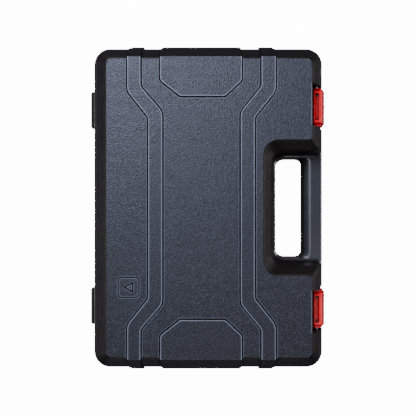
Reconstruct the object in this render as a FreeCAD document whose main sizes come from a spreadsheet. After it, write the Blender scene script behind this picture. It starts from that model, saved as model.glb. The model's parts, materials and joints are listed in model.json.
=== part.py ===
import FreeCAD, Part
import math
import os

# Socket wrench set in a two-half blow-moulded carry case.
# Millimetres.  The case lies flat on its base, lid up (+Z).  Handle and latches face -Y,
# hinges face +Y.  The origin is the middle of the underside of the whole bounding box.

V = FreeCAD.Vector
doc = FreeCAD.newDocument("socket_set")

# ---------------------------------------------------------------- driving dimensions
CASE = {
    "case_height": 91.0,         # base pads to lid pads
    "pad_rise": 1.0,             # raised pads above the plain faces
    "end_rise": 2.0,             # raised pads out of the end walls
    "groove_wide": 1.5, "groove_deep": 0.9,
    "part_gap": 0.2,             # each half stops this far from the parting plane
    "rim_len": 181.0, "rim_back": 129.6, "rim_front": 130.0, "rim_rad": 19.0,
    "belt_high": 14.5, "belt_len": 179.4, "belt_back": 128.2, "belt_front": 128.6,
    "wall_high": 16.5, "wall_len": 177.4, "wall_back": 126.2, "wall_front": 126.6,
    "shoulder_high": 34.5, "shoulder_len": 172.0, "shoulder_back": 121.0, "shoulder_front": 121.5,
    "face_high": 44.5, "face_len": 161.0, "face_back": 110.0, "face_front": 112.5,
    "win_half": 55.4, "win_back": 77.3,
    "face_win_half": 72.4, "face_win_back": 60.1,
    "bar_front": 129.5, "bar_back": 107.3, "bar_high": 13.0, "bar_round": 3.0, "bar_half": 66.0,
    "bar_inner_round": 9.5, "bar_corner": 6.0,
    "skin": 2.6,                 # wall thickness of the double-walled halves
    "tray_level": 31.0, "ceiling_level": 55.5,
    "inner_len": 171.0, "inner_back": 119.0, "inner_front": 107.0,
    "inner_win_half": 66.0, "inner_win_back": 69.0,
    "latch_x": 111.5, "recess_width": 45.5, "recess_floor": 111.5, "recess_round": 4.0,
    "latch_front": 131.0, "latch_lean": 1.2, "latch_wide": 42.0, "tongue_wide": 37.0,
    "latch_drop": 34.0, "latch_rise": 29.0, "pivot_rise": 22.0, "pivot_y": 120.5,
    "latch_inner": 125.2, "latch_step": 2.5, "window_wide": 30.0,
    "tab_wide": 28.0, "tab_reach": 124.9, "tab_top": 5.7, "tab_low": 12.7,
    "pivot_rad": 1.5, "pivot_fit": 0.07, "press_gap": 0.02,
    "hinge_x": 112.5, "hinge_y": 130.5, "knuckle_rad": 4.5, "knuckle_clear": 0.4,
    "hinge_length": 42.0,
    "centre_shift": -2.0,        # brings the middle of the whole case onto the origin
    "plaque_x": -85.0, "plaque_y": 85.0, "plaque_wide": 22.5, "plaque_deep": 23.5,
}
TOOLS = {
    "big_square": 12.7, "small_square": 6.35,
    "big_ratio": 1.0, "little_ratio": 0.6,
    "big_length": 232.0, "little_length": 137.0,
    "head_rad": 20.0, "head_tall": 20.0, "rod_rad": 7.0, "grip_rad": 14.5,
    "gear_rad": 14.0, "gear_tall": 15.0, "grip_share": 0.5,
    "cover_rad": 16.5, "cover_thick": 2.5,
    "lever_off": 11.0, "lever_reach": 15.0, "run_fit": 0.08,
    "drive_fall": 18.0, "nut_gap": 0.3,
    "ratchet_y": 98.0, "ratchet_z": 24.5, "big_x": -148.0,
    "little_y": -33.5, "little_z": 29.5, "little_x": -155.0,
    "tube_y": 66.0, "tube_rad": 11.0, "long_tube": 250.0, "short_tube": 125.0,
    "tube_z": 33.5, "long_x": -166.0, "short_x": 8.0, "short_y": -58.0, "stem_rad": 7.5,
    "plug_x": 98.0, "plug_len": 65.0, "plug_z": 33.0,
    "big_top": 48.0, "small_top": 44.0, "nut_fit": 0.6,
    "row_big": 31.5, "row_mid": -5.0, "row_small": -58.0,
    "spin_x": 2.0, "spin_y": -33.5, "spin_z": 34.0, "spin_grip": 13.0, "spin_long": 95.0,
    "spin_shaft": 4.0, "spin_reach": 55.0,
    "rail_y": -89.0, "rail_x": 119.0, "rail_len": 100.0, "rail_wide": 12.0, "rail_tall": 14.0,
    "rail_low": 14.0, "bit_pitch": 9.6, "bit_long": 25.0, "bit_flat": 6.35,
    "adapt_x": 152.0, "adapt_y": -57.0, "adapt_rad": 10.5, "adapt_tall": 32.0,
}
# size across flats : body diameter : length of the 1/2 inch and 1/4 inch sockets
BIG_ROW = {21: (28.0, 41.0), 22: (30.0, 41.0), 24: (32.5, 42.0),
           27: (36.0, 43.0), 30: (40.0, 43.0), 32: (42.0, 43.0)}
MID_ROW = {10: (22.0, 38.0), 12: (22.0, 38.0), 13: (22.0, 38.0), 14: (22.0, 38.0),
           15: (22.0, 38.0), 17: (24.0, 38.0), 19: (26.0, 38.0)}
SMALL_ROW = {6: (12.0, 25.0), 7: (12.0, 25.0), 8: (12.0, 25.0), 9: (13.0, 25.0),
             10: (14.5, 25.0), 11: (15.5, 25.0), 12: (16.8, 25.0), 13: (18.0, 25.0),
             14: (19.5, 25.0)}
BIG_END = (-160.0, 160.0)
MID_END = (-166.0, 166.0)
SMALL_END = (-168.0, -4.0)
PLUG_SIZES = {21: 28.0, 16: 22.0}

sheet = doc.addObject("Spreadsheet::Sheet", "Dims")
row_number = 0


def write_dim(alias, value):
    """One named number on the sheet."""
    global row_number
    row_number += 1
    sheet.set("A%d" % row_number, alias)
    sheet.set("B%d" % row_number, str(value))
    sheet.setAlias("B%d" % row_number, alias)


for table in (CASE, TOOLS):
    for alias, value in table.items():
        write_dim(alias, value)


def spread(sizes, ends):
    """Centres of a row of round bodies with equal gaps between them."""
    total = sum(width for width, _ in sizes.values())
    gap = (ends[1] - ends[0] - total) / (len(sizes) - 1)
    at = ends[0]
    places = {}
    for size, (width, _) in sizes.items():
        places[size] = at + width / 2
        at += width + gap
    return places


ROWS = (("half", BIG_ROW, "row_big", BIG_END), ("half", MID_ROW, "row_mid", MID_END),
        ("quarter", SMALL_ROW, "row_small", SMALL_END))
for family, sizes, _, ends in ROWS:
    places = spread(sizes, ends)
    for size, (width, tall) in sizes.items():
        write_dim("%s_flats_%d" % (family, size), size)
        write_dim("%s_width_%d" % (family, size), width)
        write_dim("%s_tall_%d" % (family, size), tall)
        write_dim("%s_at_%d" % (family, size), round(places[size], 2))
for size, width in PLUG_SIZES.items():
    write_dim("plug_flats_%d" % size, size)
    write_dim("plug_width_%d" % size, width)
doc.recompute()


def dim(text):
    """Value of a sheet expression."""
    return float(sheet.evalExpression(text))


def bound(text):
    """Sheet aliases in an expression, written the way other objects refer to them."""
    words = []
    word = ""
    for letter in text + " ":
        if letter.isalnum() or letter == "_":
            word += letter
            continue
        if word and not word[0].isdigit() and word not in ("min", "max", "sqrt"):
            word = "Dims." + word
        words.append(word + letter)
        word = ""
    return "".join(words).strip()


def solid(kind, name, place=(), turn=None, **sizes):
    """A Part primitive whose sizes and position follow the sheet."""
    made = doc.addObject("Part::" + kind, name)
    if turn is not None:
        axis, angle = turn
        made.Placement = FreeCAD.Placement(V(0, 0, 0), FreeCAD.Rotation(V(*axis), angle))
    for prop, text in sizes.items():
        made.setExpression(prop, bound(text))
    for letter, text in zip("xyz", place):
        made.setExpression("Placement.Base." + letter, bound(text))
    return made


def joined(name, pieces):
    made = doc.addObject("Part::MultiFuse", name)
    made.Shapes = pieces
    made.Refine = True
    return made


def less(name, body, tools):
    made = doc.addObject("Part::Cut", name)
    made.Base = body
    made.Tool = tools[0] if len(tools) == 1 else joined(name + "_tools", tools)
    return made


nodes = []


def node(made, label, place=(), turn=None):
    """Name a finished sub-part and put it in the set."""
    made.Label = label
    if turn is not None:
        axis, angle = turn
        made.Placement = FreeCAD.Placement(V(0, 0, 0), FreeCAD.Rotation(V(*axis), angle))
    place = place or ("0", "0", "0")
    for letter, text in zip("xyz", place):
        if letter == "y":
            text = "(%s) + centre_shift" % text
        made.setExpression("Placement.Base." + letter, bound(text))
    nodes.append(made)
    return made


# ---------------------------------------------------------------- case halves
def loop(points, radii, height):
    """Closed outline with every corner rounded."""
    count = len(points)
    corners = []
    for i, point in enumerate(points):
        here = V(point[0], point[1], height)
        before = V(points[i - 1][0], points[i - 1][1], height)
        after = V(points[(i + 1) % count][0], points[(i + 1) % count][1], height)
        back = (before - here).normalize()
        ahead = (after - here).normalize()
        angle = back.getAngle(ahead)
        reach = radii[i] / math.tan(angle / 2)
        inward = (back + ahead).normalize()
        middle = here + inward * (radii[i] / math.sin(angle / 2) - radii[i])
        corners.append((here + back * reach, middle, here + ahead * reach))
    edges = []
    for i, (start, middle, end) in enumerate(corners):
        edges.append(Part.Arc(start, middle, end).toShape())
        edges.append(Part.LineSegment(end, corners[(i + 1) % count][0]).toShape())
    return Part.Wire(edges)


def footprint(height, level, inset=0.0, wider=0.0):
    """Outline of a case half at one height: a rounded rectangle with the grip notch."""
    length, back, front, win_half, win_back, rad, boss_rad, notch_rad = level
    length += wider - inset
    back -= inset
    front -= inset
    win_half += inset
    win_back -= inset
    rad = max(rad - inset, 0.8)
    boss_rad = max(boss_rad - inset, 0.8)
    notch_rad += inset
    points = [(-length, -front), (-win_half, -front), (-win_half, -win_back),
              (win_half, -win_back), (win_half, -front), (length, -front),
              (length, back), (-length, back)]
    radii = [rad, boss_rad, notch_rad, notch_rad, boss_rad, rad, rad, rad]
    return loop(points, radii, height)


RIM = (dim("rim_len"), dim("rim_back"), dim("rim_front"), dim("win_half"), dim("win_back"),
       dim("rim_rad"), 8.0, 10.0)
BELT = (dim("belt_len"), dim("belt_back"), dim("belt_front"), 56.6, 76.1, 18.0, 7.6, 11.0)
WALL = (dim("wall_len"), dim("wall_back"), dim("wall_front"), 59.6, 73.4, 17.0, 7.0, 12.0)
SHOULDER = (dim("shoulder_len"), dim("shoulder_back"), dim("shoulder_front"), 63.0, 69.4,
            13.0, 6.0, 14.0)
FACE = (dim("face_len"), dim("face_back"), dim("face_front"), dim("face_win_half"),
        dim("face_win_back"), 6.5, 4.0, 16.0)


def between(low, high, share):
    return tuple(a + (b - a) * share for a, b in zip(low, high))


def half_levels(rise=0.0):
    """Heights above the parting plane and the outline at each; the edges are eased."""
    gap = dim("part_gap")
    belt = dim("belt_high")
    wall = dim("wall_high")
    shoulder = dim("shoulder_high")
    face = dim("face_high")
    return [
        (gap, RIM, 0.7), (gap + 0.3, RIM, 0.25), (gap + 0.9, RIM, 0.0),
        (belt - 0.9, between(RIM, BELT, 0.94), 0.0), (belt - 0.2, BELT, 0.15),
        (belt, BELT, 0.5),
        (wall - 0.4, between(BELT, WALL, 0.85), 0.0), (wall + 0.6, WALL, 0.05),
        (shoulder - 1.8, between(WALL, SHOULDER, 0.91), 0.0),
        (shoulder - 0.5, between(WALL, SHOULDER, 0.98), 0.2),
        (shoulder + 0.9, between(SHOULDER, FACE, 0.1), 0.25),
        (face - 1.6, between(SHOULDER, FACE, 0.84), 0.0),
        (face - 0.5, between(SHOULDER, FACE, 0.97), 0.15),
        (face + rise, FACE, 1.0),
    ]


def stack(levels, wider=0.0, extra=0.0):
    wires = [footprint(high, level, inset + extra, wider) for high, level, inset in levels]
    return Part.makeLoft(wires, True, True)


def block(x0, x1, y0, y1, z0, z1):
    return Part.makeBox(x1 - x0, y1 - y0, z1 - z0, V(x0, y0, z0))


def rod(rad, start, end):
    """Round bar between two points."""
    way = V(*end) - V(*start)
    return Part.makeCylinder(rad, way.Length, V(*start), way)


def plate(points, low, high, radii):
    """Flat plate with rounded corners in plan."""
    face = Part.Face(loop(points, radii, low))
    return face.extrude(V(0, 0, high - low))


def band_outline(side):
    """Raised band along the case: near the middle over the faces, further out at the ends."""
    near, far, end_near, end_far = 48.95, 63.85, 72.3, 86.4
    if side < 0:
        near, far, end_near, end_far = -35.15, -49.95, -57.3, -72.4
    inner = [(-190, end_near), (-130, end_near), (-103, near), (103, near), (130, end_near),
             (190, end_near)]
    outer = [(190, end_far), (125, end_far), (97, far), (-97, far), (-125, end_far),
             (-190, end_far)]
    inner_bends = [0.5, 9.0, 14.0, 14.0, 9.0, 0.5]
    outer_bends = [0.5, 15.0, 9.0, 9.0, 15.0, 0.5]
    return inner + outer, inner_bends + outer_bends


def end_pad(side):
    points = [(190, -36.2), (190, 51.1), (136.5, 51.1), (119.8, 29.8), (119.8, -18.4),
              (136.5, -36.2)]
    return [(x * side, y) for x, y in points], [0.5, 0.5, 6.0, 5.0, 5.0, 6.0]


PATTERN = (band_outline(1), band_outline(-1), end_pad(1), end_pad(-1))


def raised_pattern():
    """Bands and end pads standing proud of the face and of the end walls."""
    proud = stack(half_levels(dim("pad_rise")), dim("end_rise"))
    pieces = []
    for points, radii in PATTERN:
        pieces.append(plate(points, 0, dim("case_height"), radii).common(proud))
    return pieces


def pattern_grooves():
    """Narrow sunk line along the foot of every raised band and pad."""
    deep = dim("groove_deep")
    core = stack(half_levels(-deep), 0.0, deep)
    grooves = []
    for points, radii in PATTERN:
        outline = loop(points, radii, dim("wall_high"))
        ring = Part.Face(outline.makeOffset2D(dim("groove_wide")))
        ring = ring.extrude(V(0, 0, dim("case_height")))
        grooves.append(ring.cut(core))
    return grooves


def recess_cutter(side, grow=0.0):
    """Upright channel the latch sits in, with rounded mouth corners."""
    middle = side * dim("latch_x")
    half = dim("recess_width") / 2 + grow
    floor = -dim("recess_floor") + grow
    ease = dim("recess_round")
    front = -dim("rim_front")
    bend = ease * math.sqrt(0.5)
    far = front - 12
    edges = [
        Part.LineSegment(V(-half, floor, 0), V(half, floor, 0)),
        Part.LineSegment(V(half, floor, 0), V(half, front + ease, 0)),
        Part.Arc(V(half, front + ease, 0), V(half + ease - bend, front + ease - bend, 0),
                 V(half + ease, front, 0)),
        Part.LineSegment(V(half + ease, front, 0), V(half + ease, far, 0)),
        Part.LineSegment(V(half + ease, far, 0), V(-half - ease, far, 0)),
        Part.LineSegment(V(-half - ease, far, 0), V(-half - ease, front, 0)),
        Part.Arc(V(-half - ease, front, 0), V(-half - ease + bend, front + ease - bend, 0),
                 V(-half, front + ease, 0)),
        Part.LineSegment(V(-half, front + ease, 0), V(-half, floor, 0)),
    ]
    face = Part.Face(Part.Wire([edge.toShape() for edge in edges]))
    cutter = face.extrude(V(0, 0, 120))
    cutter.translate(V(middle, 0, -60))
    return cutter


def handle_bar():
    """Half of the carrying bar: a broad round on the finger side, a small one outside,
    and the same broad round turned through each corner of the grip window."""
    front = -dim("bar_front")
    back = -dim("bar_back")
    high = dim("bar_high")
    ease = dim("bar_round")
    broad = dim("bar_inner_round")
    low = dim("part_gap")
    bend = ease * (1 - math.sqrt(0.5))
    curve = broad * (1 - math.sqrt(0.5))
    x = -dim("bar_half")
    edges = [
        Part.LineSegment(V(x, front + 0.5, low), V(x, front, low + 0.6)),
        Part.LineSegment(V(x, front, low + 0.6), V(x, front, high - ease)),
        Part.Arc(V(x, front, high - ease), V(x, front + bend, high - bend),
                 V(x, front + ease, high)),
        Part.LineSegment(V(x, front + ease, high), V(x, back - broad, high)),
        Part.Arc(V(x, back - broad, high), V(x, back - curve, high - curve),
                 V(x, back, high - broad)),
        Part.LineSegment(V(x, back, high - broad), V(x, back, low + 0.6)),
        Part.LineSegment(V(x, back, low + 0.6), V(x, back - 0.5, low)),
        Part.LineSegment(V(x, back - 0.5, low), V(x, front + 0.5, low)),
    ]
    face = Part.Face(Part.Wire([edge.toShape() for edge in edges]))
    bar = face.extrude(V(-2 * x, 0, 0))
    corner = dim("bar_corner")
    y = back + corner
    turns = []
    for side in (-1, 1):
        middle = side * (dim("win_half") - corner)
        far = y - corner
        profile = [
            Part.LineSegment(V(middle, far - 0.5, low), V(middle, far, low + 0.6)),
            Part.LineSegment(V(middle, far, low + 0.6), V(middle, far, high - broad)),
            Part.Arc(V(middle, far, high - broad), V(middle, far - curve, high - curve),
                     V(middle, far - broad, high)),
            Part.LineSegment(V(middle, far - broad, high), V(middle, far - broad, low)),
            Part.LineSegment(V(middle, far - broad, low), V(middle, far - 0.5, low)),
        ]
        face = Part.Face(Part.Wire([edge.toShape() for edge in profile]))
        turns.append(face.revolve(V(middle, y, 0), V(0, 0, 1), 90 * side))
    return [bar] + turns


def inner_outline(height, ease=0.0):
    level = (dim("inner_len"), dim("inner_back"), dim("inner_front"), dim("inner_win_half"),
             dim("inner_win_back"), 8.0, 5.0, 6.0)
    return footprint(height, level, -ease)


def well(depth):
    """Room above the tray, open at the parting plane."""
    wires = [inner_outline(-1.0, 1.0), inner_outline(1.2, 0.9), inner_outline(depth)]
    return Part.makeLoft(wires, True, True)


def hollow(from_high):
    """Air space between the two skins of one case half."""
    skin = dim("skin")
    levels = []
    wall = dim("wall_high")
    start = from_high
    if start < wall:
        levels.append((start, BELT, 0.6))
        levels.append((wall - 2.0, BELT, 0.6))
    levels.append((max(start, wall) + 0.6, WALL, 0.2))
    levels.append((dim("shoulder_high") - 1.2, between(WALL, SHOULDER, 0.94), 0.2))
    levels.append((dim("face_high") - skin, between(SHOULDER, FACE, 0.74), 0.6))
    return stack(levels, 0.0, skin)


def knuckle_spans(lid):
    """Where the hinge barrels of one half sit along the hinge, as (start, end) pairs."""
    start = dim("hinge_x - hinge_length / 2")
    length = dim("hinge_length")
    pitch = length / 5
    clear = dim("knuckle_clear") / 2
    picks = (1, 3) if lid else (0, 2, 4)
    spans = []
    for pick in picks:
        low = start + pitch * pick + (clear if pick else 0)
        high = start + pitch * (pick + 1) - (clear if pick < 4 else 0)
        spans.append((low, high))
    return spans


def knuckle(low, high, rad, ease=0.0):
    """Hinge barrel, tapered over its last millimetres at the end away from the middle."""
    y = dim("hinge_y")
    way = 1 if high > low else -1
    last = high - way * ease
    barrel = rod(rad, (low, y, 0), (last, y, 0))
    if not ease:
        return barrel
    taper = Part.makeCone(rad, rad - ease, ease, V(last, y, 0), V(way, 0, 0))
    return barrel.fuse(taper)


pockets = []


def pocket_shapes(grow):
    """Everything sunk into the tray, each grown by the same amount."""
    parting = dim("case_height / 2")
    tray = parting - dim("tray_level")
    shapes = []
    for kind, x0, x1, y, rad, low in pockets:
        if kind == "stand":
            deep = parting - low + grow
            shapes.append(rod(rad + grow, (x0, y, tray - 1 - 4 * grow), (x0, y, deep)))
        elif kind == "slot":
            deep = parting - low + grow
            shapes.append(block(x0 - grow, x1 + grow, y - rad - grow, y + rad + grow,
                                tray - 1 - 4 * grow, deep))
        else:
            middle = parting - low
            shapes.append(rod(rad + grow, (x0 - grow, y, middle), (x1 + grow, y, middle)))
            if middle > tray - 1:
                shapes.append(block(x0 - grow, x1 + grow, y - rad - grow, y + rad + grow,
                                    tray - 1 - 4 * grow, middle))
    return shapes


def make_half(lid):
    """One half of the case, heights measured from the parting plane towards its face."""
    skin = dim("skin")
    body = stack(half_levels()).cut(pattern_grooves())
    body = body.fuse(raised_pattern() + handle_bar())
    parting = dim("case_height / 2")
    depth = dim("ceiling_level") - parting if lid else parting - dim("tray_level")
    air = hollow(depth + skin)
    walls = [recess_cutter(side, skin) for side in (-1, 1)]
    if not lid:
        walls += pocket_shapes(2.0)
    air = air.cut(walls)
    cutters = [well(depth)]
    cutters += [recess_cutter(side) for side in (-1, 1)]
    if not lid:
        cutters += pocket_shapes(0.0)
    barrels = []
    bores = []
    for side in (-1, 1):
        spans = knuckle_spans(lid)
        for low, high in spans:
            if lid:
                barrels.append(knuckle(side * low, side * high, dim("knuckle_rad")))
            elif low == spans[0][0]:
                barrels.append(knuckle(side * high, side * low, dim("knuckle_rad"), 1.6))
            elif high == spans[-1][1]:
                barrels.append(knuckle(side * low, side * high, dim("knuckle_rad"), 1.6))
            else:
                barrels.append(knuckle(side * low, side * high, dim("knuckle_rad")))
        for low, high in knuckle_spans(not lid):
            wide = dim("knuckle_clear")
            cutters.append(knuckle(side * (low - wide), side * (high + wide),
                                   dim("knuckle_rad + knuckle_clear")))
        fit = dim("pivot_fit") if lid else dim("press_gap")
        span = dim("hinge_length") / 2 + 1
        middle = side * dim("hinge_x")
        bores.append(rod(dim("pivot_rad") + fit, (middle - span, dim("hinge_y"), 0),
                         (middle + span, dim("hinge_y"), 0)))
    body = body.cut(cutters)
    body = body.fuse(barrels)
    if lid:
        for side in (-1, 1):
            middle = side * dim("latch_x")
            half = dim("recess_width") / 2 + dim("recess_round")
            bores.append(rod(dim("pivot_rad + press_gap"),
                             (middle - half, -dim("pivot_y"), dim("pivot_rise")),
                             (middle + half, -dim("pivot_y"), dim("pivot_rise"))))
        bores += plaque_cutters()
    else:
        tabs = []
        for side in (-1, 1):
            tabs.append(catch_tab(side))
        body = body.fuse(tabs)
    body = body.cut(bores)
    body = body.cut(air)
    return body


def catch_tab(side):
    """Fixed hook the latch window drops over, sloped on its leading side."""
    half = dim("tab_wide") / 2
    middle = side * dim("latch_x")
    root = -dim("recess_floor") + 1
    reach = -dim("tab_reach")
    top = dim("tab_top")
    low = dim("tab_low")
    x = middle - half
    corners = [V(x, root, top), V(x, reach + 2.5, top), V(x, reach, top + 2.5),
               V(x, reach, low), V(x, root, low), V(x, root, top)]
    return Part.Face(Part.makePolygon(corners)).extrude(V(2 * half, 0, 0))


def plaque_cutters():
    """Shallow outlined square with a plain triangle, for an owner's mark."""
    x = dim("plaque_x")
    y = dim("plaque_y")
    top = dim("face_high")
    wide = dim("plaque_wide") / 2
    deep = dim("plaque_deep") / 2

    def square(shrink, rad, low):
        points = [(x - wide + shrink, y - deep + shrink), (x + wide - shrink, y - deep + shrink),
                  (x + wide - shrink, y + deep - shrink), (x - wide + shrink, y + deep - shrink)]
        return plate(points, top - low, top + 1, [rad] * 4)

    ring = square(0.0, 4.2, 0.9).cut(square(1.2, 3.2, 1.2))
    mark = [(x - 6, y - 5), (x + 6, y - 5), (x, y + 6)]
    inside = [(x - 3.6, y - 3.7), (x + 3.6, y - 3.7), (x, y + 3.0)]
    outline = plate(mark, top - 0.9, top + 1, [0.8] * 3)
    return [ring, outline.cut(plate(inside, top - 2, top + 2, [0.4] * 3))]


def own_shape(label, shape, place):
    made = doc.addObject("Part::Feature", label)
    made.Shape = shape
    return node(made, label, place)


# ---------------------------------------------------------------- latches
def latch_shape():
    """Over-centre latch: windowed tongue, inset panel, side rails and pivot ears.
    Drawn at the pivot line's middle: Y from the case axis, Z from the parting plane."""
    front = -dim("latch_front")
    step = front + dim("latch_step")
    inner = -dim("latch_inner")
    drop = -dim("latch_drop")
    rise = dim("latch_rise")
    wide = dim("tongue_wide") / 2
    pivot_y = -dim("pivot_y")
    pivot_z = dim("pivot_rise")
    lean = front + dim("latch_lean")
    profile = [(front, 1.2), (front, 3.0), (lean, rise - 8.5), (lean + 0.6, rise - 7.6),
               (pivot_y - 4.6, rise - 0.4), (pivot_y - 4.0, rise),
               (pivot_y + 3.4, rise), (pivot_y + 4.0, rise - 0.8), (pivot_y + 4.0, pivot_z - 3),
               (inner, pivot_z - 9), (inner, drop + 3),
               (step + 1.6, drop), (step + 0.8, drop), (step, drop + 1.2), (step, -0.2),
               (front + 0.5, 0.4)]
    points = [V(-wide, y, z) for y, z in profile]
    blade = Part.Face(Part.makePolygon(points + points[:1])).extrude(V(2 * wide, 0, 0))
    outline = loop([(-wide, drop), (wide, drop), (wide, rise), (-wide, rise)],
                   [9.0, 9.0, 2.5, 2.5], 0)
    mask = Part.Face(outline).extrude(V(0, 0, 60))
    mask.rotate(V(0, 0, 0), V(1, 0, 0), 90)
    mask.translate(V(0, -80, 0))
    blade = blade.common(mask)
    rails = []
    edge = dim("latch_wide") / 2
    for side in (-1, 1):
        x0 = side * wide
        x1 = side * edge
        rail_points = [(front + 3.6, -20), (front + 3.0, -19), (front + 3.0, rise - 10.0),
                       (pivot_y - 3.4, rise - 3.6), (pivot_y + 2.4, rise - 3.6),
                       (pivot_y + 3.6, rise - 5.0),
                       (pivot_y + 3.6, pivot_z - 5), (inner + 1.4, pivot_z - 13),
                       (inner + 1.4, -20), (inner + 0.6, -22), (front + 4.2, -22)]
        line = [V(x0 - side * 0.5, y, z) for y, z in rail_points]
        rail = Part.Face(Part.makePolygon(line + line[:1]))
        rails.append(rail.extrude(V(x1 - x0 + side * 0.5, 0, 0)))
        ear = block(min(side * 13.5, x0), max(side * 13.5, x0), pivot_y - 6.0, pivot_y + 3.0,
                    pivot_z - 5, pivot_z + 4)
        rails.append(ear)
    ribs = []
    for i in range(3):
        z = -17.6 - 3.1 * i
        ribs.append(rod(1.1, (-13.5 + i, step + 0.25, z), (13.5 - i, step + 0.25, z)))
    body = blade.fuse(rails + ribs)
    half = dim("window_wide") / 2
    window = loop([(-half, -15.0), (half, -15.0), (half, -1.4), (-half, -1.4)], [1.5] * 4, 0)
    cut_window = Part.Face(window).extrude(V(0, 0, 30))
    panel = loop([(-14, 3.6), (14, 3.6), (14, 16.2), (-14, 16.2)], [1.6] * 4, 0)
    cut_panel = Part.Face(panel).extrude(V(0, 0, 10))
    for cutter, y in ((cut_window, -dim("latch_inner") + 10), (cut_panel, front + 1.9)):
        cutter.rotate(V(0, 0, 0), V(1, 0, 0), 90)
        cutter.translate(V(0, y, 0))
    mouth = loop([(-14.8, pivot_y - 1.7), (14.8, pivot_y - 1.7), (14.8, pivot_y + 3.0),
                  (-14.8, pivot_y + 3.0)], [1.0] * 4, pivot_z + 2.4)
    mouth = Part.Face(mouth).extrude(V(0, 0, rise))
    dip = Part.makeTorus(40.0, 6.0)
    dip.translate(V(0, step - 44.8, -28.6))
    bore = rod(dim("pivot_rad + pivot_fit"), (-40, pivot_y, pivot_z), (40, pivot_y, pivot_z))
    return body.cut([cut_window, cut_panel, mouth, dip, bore])


# ---------------------------------------------------------------- tools
def hexagon(name, flats, high, place):
    """Six-sided bar; the sheet holds its width across flats."""
    return solid("Prism", name, place, Circumradius="(%s) / sqrt(3)" % flats, Height=high,
                 Polygon="6")


def make_socket(family, size, square, row, top):
    """Standing socket, nut end up, square drive end down."""
    key = "%s_%%s_%d" % (family, size)
    flats = key % "flats"
    width = key % "width"
    tall = key % "tall"
    base = "%s_%d_%s" % (family, size, "s")
    nose = "min(%s; %s * 1.26 + 3.4)" % (width, flats)
    share = "%s * 0.46" % tall
    body = [
        solid("Cone", base + "_foot", Radius1=width + " / 2 - 0.6", Radius2=width + " / 2",
              Height="0.6"),
        solid("Cylinder", base + "_drive", ("0", "0", "0.6"), Radius=width + " / 2",
              Height=share + " - 0.6"),
        solid("Cone", base + "_neck", ("0", "0", share), Radius1=width + " / 2",
              Radius2=nose + " / 2 - 0.01", Height="2.5"),
        solid("Cylinder", base + "_nose", ("0", "0", share + " + 2.5"),
              Radius=nose + " / 2 - 0.01", Height=tall + " - 3.1 - " + share),
        solid("Cone", base + "_lip", ("0", "0", tall + " - 0.6"),
              Radius1=nose + " / 2 - 0.01", Radius2=nose + " / 2 - 0.5", Height="0.6"),
    ]
    half = "(%s + 0.1) / 2" % square
    cut = [
        solid("Box", base + "_square", ("-" + half, "-" + half, "-1"), Length=square + " + 0.1",
              Width=square + " + 0.1", Height=tall + " * 0.42 + 1"),
        hexagon(base + "_hex", flats + " + nut_gap", tall, ("0", "0", tall + " * 0.55")),
        solid("Cylinder", base + "_through", ("0", "0", "1"),
              Radius="min(%s; %s) * 0.36" % (square, flats), Height=tall),
        solid("Cone", base + "_leadin", ("0", "0", tall + " - 1"),
              Radius1=flats + " / 2", Radius2=flats + " / 2 * 1.2 + 0.2", Height="1.01"),
    ]
    made = less(base, joined(base + "_body", body), cut)
    inch = "half_inch" if family == "half" else "quarter_inch"
    place = (key % "at", row, "%s - %s" % (top, tall))
    node(made, "socket_%s_%d" % (inch, size), place)
    pockets.append(("stand", dim(key % "at"), 0, dim(row), dim(width) / 2 + dim("nut_fit"),
                    dim("%s - %s" % (top, tall)) - 0.3))


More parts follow.
